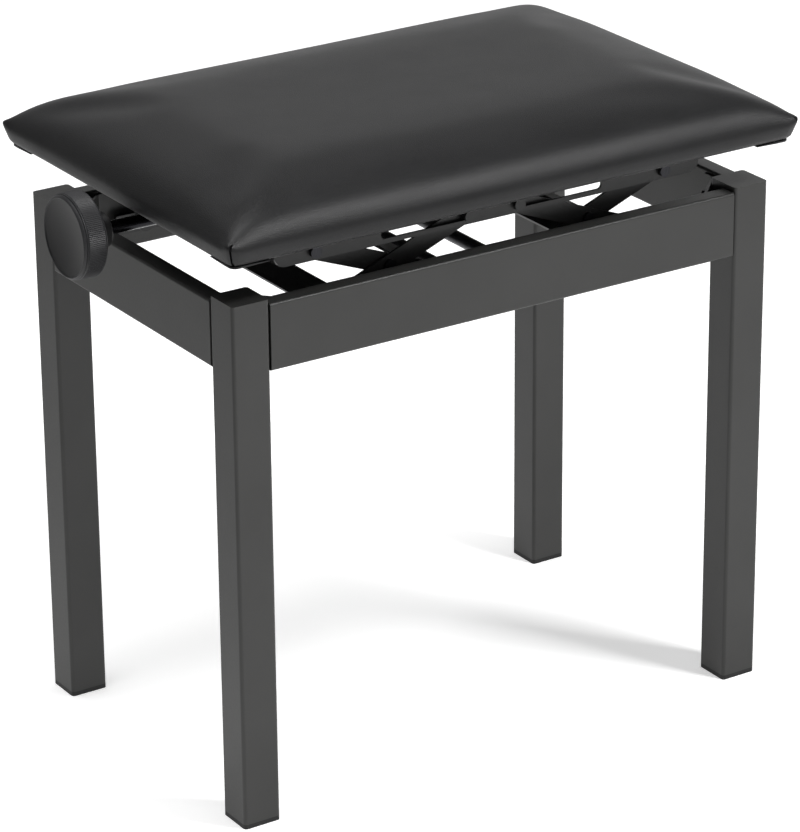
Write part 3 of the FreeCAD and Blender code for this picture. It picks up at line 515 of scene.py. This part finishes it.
def copy_of(piece: bpy.types.Object, name: str, mirror: tuple[int, int]) -> bpy.types.Object:
    """A copy with its own mesh, mirrored across X, Y or both.

    Args:
        piece: What is copied.
        name: The copy's name.
        mirror: 1 or -1 for X and for Y.

    Returns:
        The copy, with its faces outward.
    """
    double = piece.copy()
    double.data = piece.data.copy()
    double.name = name
    bpy.context.collection.objects.link(double)
    points = points_of(double)
    points[:, :2] *= mirror
    move_points(double, points)
    if mirror[0] * mirror[1] < 0:
        double.data.flip_normals()
    return double


def lathe(
    name: str, profile: list[tuple[float, float]], steps: int, height: float, flip: int = 1
) -> bpy.types.Object:
    """Turn a profile about the line y = 0, z = height, which runs along X.

    Args:
        name: The piece's name.
        profile: Pairs of x and radius in metres; it starts and ends on the axis, or meets itself.
        steps: Divisions round the axis.
        height: Height of the axis.
        flip: -1 mirrors the profile's x.

    Returns:
        The turned piece, closed, with its faces outward.
    """
    deselect_all()
    bpy.ops.mesh.primitive_plane_add(size=MM, location=(0, 0, 0))
    piece = bpy.context.object
    piece.name = name
    bpy.ops.object.mode_set(mode="EDIT")
    bpy.ops.mesh.select_mode(type="VERT")
    bpy.ops.mesh.select_all(action="SELECT")
    bpy.ops.mesh.merge(type="CENTER")
    places = [Vector((flip * x, 0, height + radius)) for x, radius in profile]
    bpy.ops.transform.translate(value=places[0])
    for before, after in zip(places, places[1:]):
        bpy.ops.mesh.extrude_region_move(TRANSFORM_OT_translate={"value": after - before})
    bpy.ops.mesh.select_all(action="SELECT")
    bpy.ops.mesh.spin(steps=steps, angle=math.tau, center=(0, 0, height), axis=(1, 0, 0))
    bpy.ops.mesh.select_all(action="SELECT")
    bpy.ops.mesh.remove_doubles(threshold=0.002 * MM)
    bpy.ops.mesh.normals_make_consistent(inside=False)
    bpy.ops.object.mode_set(mode="OBJECT")
    return piece


def join(pieces: list[bpy.types.Object]) -> bpy.types.Object:
    """Join pieces into the first one."""
    deselect_all()
    for piece in pieces:
        piece.select_set(True)
    bpy.context.view_layer.objects.active = pieces[0]
    bpy.ops.object.join()
    return pieces[0]


def accent(piece: bpy.types.Object, finish: Finish, test: Callable[[Vector], bool]) -> None:
    """Give part of a piece a second finish.

    Args:
        piece: A delivered piece.
        finish: The second finish.
        test: Says whether a face gets it, from its middle as seen from the steel frame's middle.
    """
    piece.data.materials.append(finish.material())
    last = len(piece.data.materials) - 1
    for face in piece.data.polygons:
        if test(face.center - MIDDLE):
            face.material_index = last


def place_of(node: str) -> tuple[Vector, Vector]:
    """A CAD node's box, measured along X from the middle of the steel frame.

    Args:
        node: The node's name.

    Returns:
        Its low and high corners.
    """
    low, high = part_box(node)
    return low - MIDDLE, high - MIDDLE


def deliver(piece: bpy.types.Object, finish: Finish, slot: str, body: str, *stands_for: str) -> None:
    """Move a finished piece from the steel frame's middle into place, dress it and hand it over.

    Args:
        piece: The piece, modelled about the middle of the steel frame.
        finish: Its finish.
        slot: Its material slot in the record; not used.
        body: The body that it rides on.
        stands_for: CAD nodes that it replaces.
    """
    move_points(piece, points_of(piece) + np.array(MIDDLE))
    dress(piece, finish)
    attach(piece, body)
    if stands_for:
        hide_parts(*stands_for)


# ---------------------------------------------------------------------------
# Seat
# ---------------------------------------------------------------------------


@dataclass
class Seat:
    """The padded seat: a foam pad under artificial leather, pulled down round a board."""

    # Profile: an upright side, a round shoulder, then a slow crown; the corners flare into ears.
    side_tall: float = 18.6 * MM
    shoulder: float = 16.0 * MM
    shoulder_wide: float = 36 * MM
    crown: float = 7.5 * MM
    crown_wide: float = 100 * MM
    flare: float = 6.5 * MM
    flare_amid: float = 0.4  # share of the flare that the sides have between the corners
    ear_wide: float = 60 * MM
    corner_round: float = 5 * MM
    hem_round: float = 1.2 * MM
    # Cloth pass
    voxel: float = 4.5 * MM
    pressure: float = 6.0
    stretch_stiffness: float = 40.0
    bend_stiffness: float = 20.0
    tightness: float = 0.002
    frames: int = 20
    settled: float = 0.6  # share of the cloth's motion that is kept
    cap: float = 6 * MM
    relax_rounds: int = 18
    # Pleat at each corner: a slit between cuts at these distances from its middle
    slit_tall: float = 19 * MM
    slit_deep: float = 3.2 * MM
    slit_half: float = 0.6 * MM
    slit_fade: float = 2 * MM
    slit_reach: float = 14 * MM
    slit_above: float = 3 * MM
    slit_cuts: tuple[float, ...] = (-1.1 * MM, -0.45 * MM, 0.45 * MM, 1.1 * MM)
    # Folded hem under each corner
    fold_long: float = 30 * MM
    fold_root: float = 12 * MM
    fold_tall: float = 1.0 * MM
    fold_lap: float = 0.6 * MM
    fold_taper: float = 0.35
    fold_inset: float = 1.6 * MM
    fold_soft: float = 0.7 * MM
    low: Vector = field(default_factory=Vector)
    high: Vector = field(default_factory=Vector)

    def __post_init__(self) -> None:
        """Read the cover's place from the frame."""
        self.low, self.high = place_of("seat_cover")

    def build(self) -> None:
        """Model the cushion and its folded corners in the CAD cover's place."""
        cushion = self.blank()
        self.raise_crown(cushion)
        self.inflate(cushion)
        self.cut_slits(cushion)
        smooth(cushion, 50)
        deliver(cushion, LEATHER, "seat_vinyl", "seat", "seat_cover", "seat_foam")
        self.fold_corners()

    def blank(self) -> bpy.types.Object:
        """A slab as tall as the seat's sides, with rounded upright edges."""
        slab = box("seat_cushion", self.low, Vector((*self.high.xy, self.low.z + self.side_tall)))
        bpy.ops.object.mode_set(mode="EDIT")
        bpy.ops.mesh.select_mode(type="EDGE")
        bpy.ops.mesh.select_all(action="DESELECT")
        mesh = bmesh.from_edit_mesh(slab.data)
        for edge in mesh.edges:
            run = edge.verts[0].co - edge.verts[1].co
            edge.select_set(run.xy.length < MM)
        bmesh.update_edit_mesh(slab.data)
        bpy.ops.mesh.bevel(offset=self.corner_round, segments=4)
        pick(slab, "EDGE", lambda place: place.z < self.low.z + MM)
        bpy.ops.mesh.bevel(offset=self.hem_round, segments=2)
        bpy.ops.object.mode_set(mode="OBJECT")
        remesh = slab.modifiers.new("even", "REMESH")
        remesh.mode = "VOXEL"
        remesh.voxel_size = self.voxel
        apply_modifiers(slab)
        return slab

    def raise_crown(self, cushion: bpy.types.Object) -> None:
        """Lift the top: the sides flare, most at the corners, and shoulder up into a crown.

        Args:
            cushion: The remeshed slab.
        """
        middle = (self.low + self.high) / 2
        half = (self.high - self.low) / 2
        points = points_of(cushion)
        inside = np.abs(points[:, :2] - np.array(middle.xy))
        inside = np.clip(np.array(half.xy) - inside, 0, None)
        round_up = np.sqrt(1 - (1 - np.clip(inside / self.shoulder_wide, 0, 1)) ** 2).prod(axis=1)
        slope_up = (1 - np.clip(1 - inside / self.crown_wide, 0, 1) ** 2).prod(axis=1)
        share = np.clip((points[:, 2] - self.low.z) / self.side_tall, 0, 1)
        rim = np.clip(1 - inside / self.shoulder_wide, 0, 1) ** 2
        corner = np.clip(1 - inside[:, ::-1] / self.ear_wide, 0, 1)
        amount = rim * (self.flare_amid + (1 - self.flare_amid) * corner)
        outward = np.sign(points[:, :2] - np.array(middle.xy)) * amount
        points[:, :2] += self.flare * share[:, None] * outward
        points[:, 2] += share * (self.shoulder * round_up + self.crown * slope_up)
        move_points(cushion, points)

    def inflate(self, cushion: bpy.types.Object) -> None:
        """Let the cover stretch over its foam with a short cloth simulation.

        Args:
            cushion: The crowned slab; its sides stay tight against the board.
        """
        held = cushion.vertex_groups.new(name="held")
        before = points_of(cushion)
        low = np.flatnonzero(before[:, 2] < self.low.z + self.side_tall)
        held.add(low.tolist(), 1.0, "REPLACE")
        cloth = cushion.modifiers.new("cloth", "CLOTH")
        cloth.settings.use_pressure = True
        cloth.settings.uniform_pressure_force = self.pressure
        cloth.settings.effector_weights.gravity = 0.0
        cloth.settings.vertex_group_mass = "held"
        cloth.settings.tension_stiffness = self.stretch_stiffness
        cloth.settings.compression_stiffness = self.stretch_stiffness
        cloth.settings.bending_stiffness = self.bend_stiffness
        cloth.settings.shrink_min = self.tightness
        cloth.point_cache.frame_start = 1
        cloth.point_cache.frame_end = self.frames
        for number in range(1, self.frames + 1):
            bpy.context.scene.frame_set(number)
        apply_modifiers(cushion)
        moved = points_of(cushion) - before
        length = np.linalg.norm(moved, axis=1, keepdims=True)
        log.info("the cloth moved %.1f mm at most", length.max() / MM)
        moved *= self.settled * np.minimum(1.0, self.cap / np.maximum(length, 1e-9))
        move_points(cushion, before + moved)
        bpy.context.scene.frame_set(1)
        relax = cushion.modifiers.new("relax", "SMOOTH")
        relax.iterations = self.relax_rounds
        relax.vertex_group = "held"
        relax.invert_vertex_group = True
        apply_modifiers(cushion)
        finer = cushion.modifiers.new("finer", "SUBSURF")
        finer.levels = finer.render_levels = 1
        apply_modifiers(cushion)

    def cut_slits(self, cushion: bpy.types.Object) -> None:
        """Press a narrow upright slit into each corner, where the cover is pleated.

        Args:
            cushion: The finished cushion.
        """
        top = self.low.z + self.slit_tall
        for side_x in (-1, 1):
            for side_y in (-1, 1):
                corner = Vector((side_x * self.high.x, side_y * self.high.y, self.low.z))
                across = Vector((side_y, -side_x, 0)).normalized()
                inward = Vector((-side_x, -side_y, 0)).normalized()
                activate(cushion)
                bpy.ops.object.mode_set(mode="EDIT")
                for offset in self.slit_cuts:
                    pick(cushion, "FACE", lambda place: (place - corner).xy.length < self.slit_reach
                         and place.z < top + self.slit_above)
                    bpy.ops.mesh.bisect(plane_co=corner + across * offset, plane_no=across)
                bpy.ops.object.mode_set(mode="OBJECT")
                points = points_of(cushion)
                reach = points - np.array(corner)
                near = np.linalg.norm(reach[:, :2], axis=1) < self.slit_reach
                near &= np.abs(reach @ np.array(across)) < self.slit_half
                fade = np.clip((self.slit_tall - reach[:, 2]) / self.slit_fade, 0, 1)
                shift = np.outer(near * fade * self.slit_deep, np.array(inward))
                move_points(cushion, points + shift)

    def fold_corners(self) -> None:
        """Lay the folded hem round each corner; it hangs a little lower than the rest."""
        hair = 0.1 * MM
        low = self.low + Vector((self.fold_inset, self.fold_inset, -self.fold_tall))
        high = low + Vector((self.fold_root, self.fold_root, self.fold_tall + self.fold_lap))
        fold = box("corner_fold_front_left", low, high)
        bpy.ops.object.mode_set(mode="EDIT")
        for axis in (0, 1):
            end, side = high[axis] - hair, high[1 - axis] + hair
            pick(fold, "FACE", lambda place: place[axis] > end and place[1 - axis] < side)
            move = Vector((0, 0, 0))
            move[axis] = self.fold_long - self.fold_root
            bpy.ops.mesh.extrude_region_move(TRANSFORM_OT_translate={"value": move})
            bpy.ops.transform.resize(value=(1, 1, self.fold_taper), center_override=(0, 0, self.low.z))
        bpy.ops.mesh.select_mode(type="EDGE")
        bpy.ops.mesh.select_all(action="DESELECT")
        mesh = bmesh.from_edit_mesh(fold.data)
        for edge in mesh.edges:
            flat = [(corner.co.xy - low.xy) for corner in edge.verts]
            edge.select_set(all(place.length < hair for place in flat))
        bmesh.update_edit_mesh(fold.data)
        bpy.ops.mesh.bevel(offset=self.corner_round, segments=5)
        bpy.ops.mesh.select_all(action="SELECT")
        bpy.ops.mesh.normals_make_consistent(inside=False)
        bpy.ops.object.mode_set(mode="OBJECT")
        soften = fold.modifiers.new("soft", "BEVEL")
        soften.width = self.fold_soft
        soften.segments = 2
        soften.angle_limit = math.radians(40)
        apply_modifiers(fold)
        for name, mirror in (("front_right", (-1, 1)), ("back_left", (1, -1)), ("back_right", (-1, -1))):
            self.deliver_fold(copy_of(fold, "corner_fold_" + name, mirror))
        self.deliver_fold(fold)

    def deliver_fold(self, fold: bpy.types.Object) -> None:
        """Hand one folded corner to the frame."""
        smooth(fold, 40)
        deliver(fold, LEATHER, "seat_vinyl", "seat")


# ---------------------------------------------------------------------------
# Knob and spindle
# ---------------------------------------------------------------------------


@dataclass
class Knob:
    """A moulded knob: a ribbed grip, a stepped bevel, a dished face and a hub behind."""

    ribs: int = 144
    rib_deep: float = 0.35 * MM
    long: float = 33 * MM
    # Along the knob from the hub's rear end
    hub_end: float = 13.1 * MM
    grip_from: float = 16.1 * MM
    grip_to: float = 29.1 * MM
    dish_from: float = 28 * MM
    # Radii
    dish_radius: float = 28.2 * MM
    grip_core: float = 31 * MM
    grip_radius: float = 31.35 * MM
    # Read from the frame
    face: float = 0.0
    height: float = 0.0

    def __post_init__(self) -> None:
        """Read the knob's place from the frame."""
        low, high = place_of("knob")
        self.face = -low.x
        self.height = (low.z + high.z) / 2

    def build(self) -> None:
        """Model it and put it in the place of the CAD knob and its inlay."""
        outline = [
            (0, 0), (0, 12.0), (1, 13.0), (12.4, 13.0), (13, 14.2), (13, 27.5), (14.0, 29.0),
            (15.0, 30.6), (15.5, 31.0), (15.9, 30.7), (16.2, 31.3), (29.0, 31.4), (29.3, 30.9),
            (29.8, 31.1), (30.2, 31.1), (30.7, 30.3), (31.4, 30.5), (32.0, 30.2), (32.6, 29.6),
            (33.0, 29.2), (33.0, 28.7), (32.7, 28.3), (32.2, 28.0), (31.4, 24.5), (30.5, 19.5),
            (29.6, 13.0), (29.0, 6.5), (28.8, 0.0),
        ]
        rear = self.face - self.long
        profile = [(rear + x * MM, radius * MM) for x, radius in outline]
        knob = lathe("ribbed_knob", profile, 2 * self.ribs, self.height, -1)
        self.cut_ribs(knob, rear)
        smooth(knob, 28)
        # the whole knob starts in the paler copy of the ABS, painted as light on the grip
        deliver(knob, KNOB_LIT_GRIP, "knob_plastic", "drive", "knob", "knob_inlay")

        def is_dark(middle: Vector) -> bool:
            """Whether a place is on the hub or in the dish, which are painted darker as shade."""
            along = -middle.x - rear
            out = math.hypot(middle.y, middle.z - self.height)
            return along < self.hub_end or (out < self.dish_radius and along > self.dish_from)

        # the hub and the dish get the darker copy of the same ABS: painted shade
        accent(knob, KNOB_SHADED_PLASTIC, is_dark)

    def cut_ribs(self, knob: bpy.types.Object, rear: float) -> None:
        """Pull every other line of the grip inward.

        Args:
            knob: The turned knob.
            rear: The hub's rear end from the middle.
        """
        points = points_of(knob)
        along = np.abs(points[:, 0]) - rear
        up = points[:, 2] - self.height
        grip = (along > self.grip_from) & (along < self.grip_to)
        grip &= np.hypot(points[:, 1], up) > self.grip_core
        turn = np.arctan2(up, points[:, 1]) / math.tau * 2 * self.ribs
        valley = grip & (np.round(turn).astype(int) % 2 == 0)
        shrink = 1 - valley * self.rib_deep / self.grip_radius
        points[:, 1] *= shrink
        points[:, 2] = self.height + up * shrink
        move_points(knob, points)


@dataclass
class Spindle:
    """The threaded spindle: two starts, right-hand on the right and left-hand on the left."""

    pitch: float = 3.07 * MM
    depth: float = 1.4 * MM
    bury: float = 0.05 * MM  # how far the thread's root lies inside the core
    middle: float = 14 * MM  # half the plain length between the threads
    thread_end: float = 108 * MM
    journal_step: float = 1 * MM
    chamfer: float = 0.6 * MM
    # Read from the frame
    radius: float = 0.0
    left: float = 0.0
    right: float = 0.0
    height: float = 0.0

    def __post_init__(self) -> None:
        """Read the spindle's place from the frame."""
        low, high = place_of("spindle")
        self.left, self.right = low.x, high.x
        self.height = (low.z + high.z) / 2
        self.radius = (high.z - low.z) / 2

    def build(self) -> None:
        """Model both threads and the plain ends as one piece."""
        journal = self.radius - self.journal_step
        neck = self.thread_end + self.journal_step
        core = self.radius - self.depth + self.bury
        outline = [(self.left, 0), (self.left, journal - self.chamfer), (self.left + self.chamfer, journal),
                   (-neck, journal), (-self.thread_end, core), (-self.middle, core),
                   (-self.middle, self.radius), (self.middle, self.radius), (self.middle, core),
                   (self.thread_end, core), (neck, journal),
                   (self.right - self.chamfer, journal), (self.right, journal - self.chamfer),
                   (self.right, 0)]
        rod = lathe("threaded_spindle", outline, 48, self.height)
        whole = join([rod, self.thread(Side.LEFT), self.thread(Side.RIGHT)])
        smooth(whole, 35)
        deliver(whole, SPINDLE_STEEL, "dark_zinc", "drive", "spindle")

    def thread(self, side: Side) -> bpy.types.Object:
        """One threaded length.

        Args:
            side: The end of the spindle that it is on; it sets the hand too.

        Returns:
            A closed helical ridge round the core.
        """
        deselect_all()
        start = self.middle - 0.5 * MM
        lead = 2 * self.pitch
        turns = int((self.thread_end - start) / lead)
        bpy.ops.mesh.primitive_plane_add(size=MM, location=(0, 0, 0))
        ridge = bpy.context.object
        ridge.name = "thread_" + side.word
        bpy.ops.object.mode_set(mode="EDIT")
        bpy.ops.mesh.select_mode(type="VERT")
        bpy.ops.mesh.select_all(action="SELECT")
        bpy.ops.mesh.merge(type="CENTER")
        root, crest = self.radius - self.depth, self.radius
        steps = [(0.0, root), (0.3, crest), (0.55, crest), (0.85, root)]
        places = [
            Vector((radius, 0, (tooth + share) * self.pitch)) for tooth in (0, 1) for share, radius in steps
        ]
        places.append(Vector((root, 0, lead)))
        bpy.ops.transform.translate(value=places[0])
        for before, after in zip(places, places[1:]):
            bpy.ops.mesh.extrude_region_move(TRANSFORM_OT_translate={"value": after - before})
        bpy.ops.object.mode_set(mode="OBJECT")
        twist = ridge.modifiers.new("twist", "SCREW")
        twist.axis = "Z"
        twist.angle = math.tau
        twist.screw_offset = lead
        twist.iterations = turns
        twist.steps = twist.render_steps = 24
        twist.use_merge_vertices = True
        twist.merge_threshold = 0.01 * MM
        apply_modifiers(ridge)
        bpy.ops.object.mode_set(mode="EDIT")
        bpy.ops.mesh.select_all(action="SELECT")
        bpy.ops.mesh.remove_doubles(threshold=0.01 * MM)
        bpy.ops.mesh.select_all(action="DESELECT")
        bpy.ops.mesh.select_mode(type="EDGE")
        bpy.ops.mesh.select_non_manifold()
        bpy.ops.mesh.edge_face_add()
        bpy.ops.mesh.select_all(action="SELECT")
        bpy.ops.mesh.normals_make_consistent(inside=False)
        bpy.ops.object.mode_set(mode="OBJECT")
        points = points_of(ridge)
        along = side.value * (start + points[:, 2])
        move_points(ridge, np.stack([along, points[:, 1], self.height + points[:, 0]], axis=1))
        if side is Side.RIGHT:
            ridge.data.flip_normals()
        return ridge


# ---------------------------------------------------------------------------
# Studio
# ---------------------------------------------------------------------------


@dataclass(frozen=True)
class SoftBox:
    """A square soft light."""

    name: str
    place: tuple[float, float, float]
    target: tuple[float, float, float]
    size: float
    power: float

    def hang(self) -> None:
        """Put it in the scene, facing its target."""
        data = bpy.data.lights.new(self.name, "AREA")
        data.size = self.size
        data.energy = self.power
        lamp = bpy.data.objects.new(self.name, data)
        lamp.location = self.place
        aim = Vector(self.target) - Vector(self.place)
        lamp.rotation_euler = aim.to_track_quat("-Z", "Y").to_euler()
        bpy.context.collection.objects.link(lamp)


@dataclass
class Studio:
    """A pale floor, soft lights and the camera."""

    camera_place: tuple[float, float, float] = (-1.51609, -2.37120, 1.40851)
    azimuth: float = -32.918
    elevation: float = 22.816
    roll: float = -0.487
    lens_mm: float = 175.37
    sensor_mm: float = 36.0
    # The floor glows up to a line on its left, and fades beyond it, which darkens the left faces.
    glow: float = 0.46
    glow_across: tuple[float, float, float] = (-0.891, 0.454, 0)
    glow_from: float = 0.38
    glow_to: float = 0.8
    # The surround is brighter on the right, and darker overhead.
    surround_left: float = 0.16
    surround_right: float = 1.05
    surround_overhead: float = 0.15
    overhead_from: float = 0.35
    overhead_to: float = 0.65
    lights: tuple[SoftBox, ...] = (
        SoftBox("soft_box", (-0.4, 0.2, 2.8), (0, 0, 0.3), 1.5, 50),
        SoftBox("edge_light", (0.95, -1.35, 2.15), (-0.1, -0.1, 0.45), 0.4, 42),
        SoftBox("front_fill", (-0.6, -3.0, 1.6), (0, 0, 0.3), 1.6, 4),
    )

    def build(self) -> None:
        """Make all of it."""
        self.place_camera()
        self.lay_floor()
        self.hang_lights()

    def place_camera(self) -> None:
        """A long lens from the front left, a little above the seat."""
        data = bpy.data.cameras.new("camera")
        data.lens = self.lens_mm
        data.sensor_fit = "VERTICAL"
        data.sensor_height = self.sensor_mm
        data.clip_end = 50
        camera = bpy.data.objects.new("camera", data)
        bpy.context.collection.objects.link(camera)
        turn = math.radians(self.azimuth)
        lift = math.radians(self.elevation)
        back = Vector((math.sin(turn) * math.cos(lift), -math.cos(turn) * math.cos(lift), math.sin(lift)))
        right = Vector((0, 0, 1)).cross(back).normalized()
        up = back.cross(right)
        level = Matrix((right, up, back)).transposed().to_4x4()
        tilt = Matrix.Rotation(math.radians(self.roll), 4, "Z")
        camera.matrix_world = Matrix.Translation(self.camera_place) @ level @ tilt
        bpy.context.scene.camera = camera

    def lay_floor(self) -> None:
        """A wide pale floor."""
        deselect_all()
        bpy.ops.mesh.primitive_plane_add(size=40, location=(0, 0, 0))
        floor = bpy.context.object
        floor.name = "floor"
        made = bpy.data.materials.new("pale_floor")
        made.use_nodes = True
        shader = made.node_tree.nodes["Principled BSDF"]
        shader.inputs["Base Color"].default_value = linear("f4f4f4")
        shader.inputs["Roughness"].default_value = 0.9
        shader.inputs["Specular IOR Level"].default_value = 0.2
        shader.inputs["Emission Color"].default_value = linear("ffffff")
        place = add_node(made.node_tree, "ShaderNodeTexCoord").outputs["Object"]
        beyond = add_node(made.node_tree, "ShaderNodeVectorMath",
                          {"operation": "DOT_PRODUCT", 1: self.glow_across}, {0: place})
        glow = add_node(made.node_tree, "ShaderNodeMapRange",
                        {"From Min": self.glow_from, "From Max": self.glow_to,
                         "To Min": self.glow, "To Max": 0.0},
                        {"Value": beyond.outputs["Value"]})
        made.node_tree.links.new(glow.outputs["Result"], shader.inputs["Emission Strength"])
        floor.data.materials.append(made)

    def hang_lights(self) -> None:
        """A big soft box overhead, one for the edges, a front fill and a white surround."""
        for light in self.lights:
            light.hang()
        world = bpy.data.worlds.new("surround")
        bpy.context.scene.world = world
        world.use_nodes = True
        tree = world.node_tree
        toward = add_node(tree, "ShaderNodeTexCoord").outputs["Generated"]
        split = add_node(tree, "ShaderNodeSeparateXYZ", links={"Vector": toward})
        across = add_node(tree, "ShaderNodeMapRange",
                          {"From Min": -1.0, "To Min": self.surround_left, "To Max": self.surround_right},
                          {"Value": split.outputs["X"]})
        upward = add_node(tree, "ShaderNodeMapRange",
                          {"From Min": self.overhead_from, "From Max": self.overhead_to,
                           "To Min": 1.0, "To Max": self.surround_overhead},
                          {"Value": split.outputs["Z"]})
        glow = add_node(tree, "ShaderNodeMath", {"operation": "MULTIPLY"},
                        {0: across.outputs["Result"], 1: upward.outputs["Result"]})
        tree.links.new(glow.outputs["Value"], tree.nodes["Background"].inputs["Strength"])
        tree.nodes["Background"].inputs["Color"].default_value = linear("ffffff")
        bpy.context.scene.view_settings.view_transform = "Standard"


def main() -> None:
    """Build everything in order."""
    logging.basicConfig(level=logging.INFO, format="%(name)s: %(message)s")
    Studio().build()
    for assembly in (STEEL_FRAME, ScissorLift(), SEAT_BASE):
        assembly.build()
    Seat().build()
    Knob().build()
    Spindle().build()


if __name__ == "__main__":
    main()
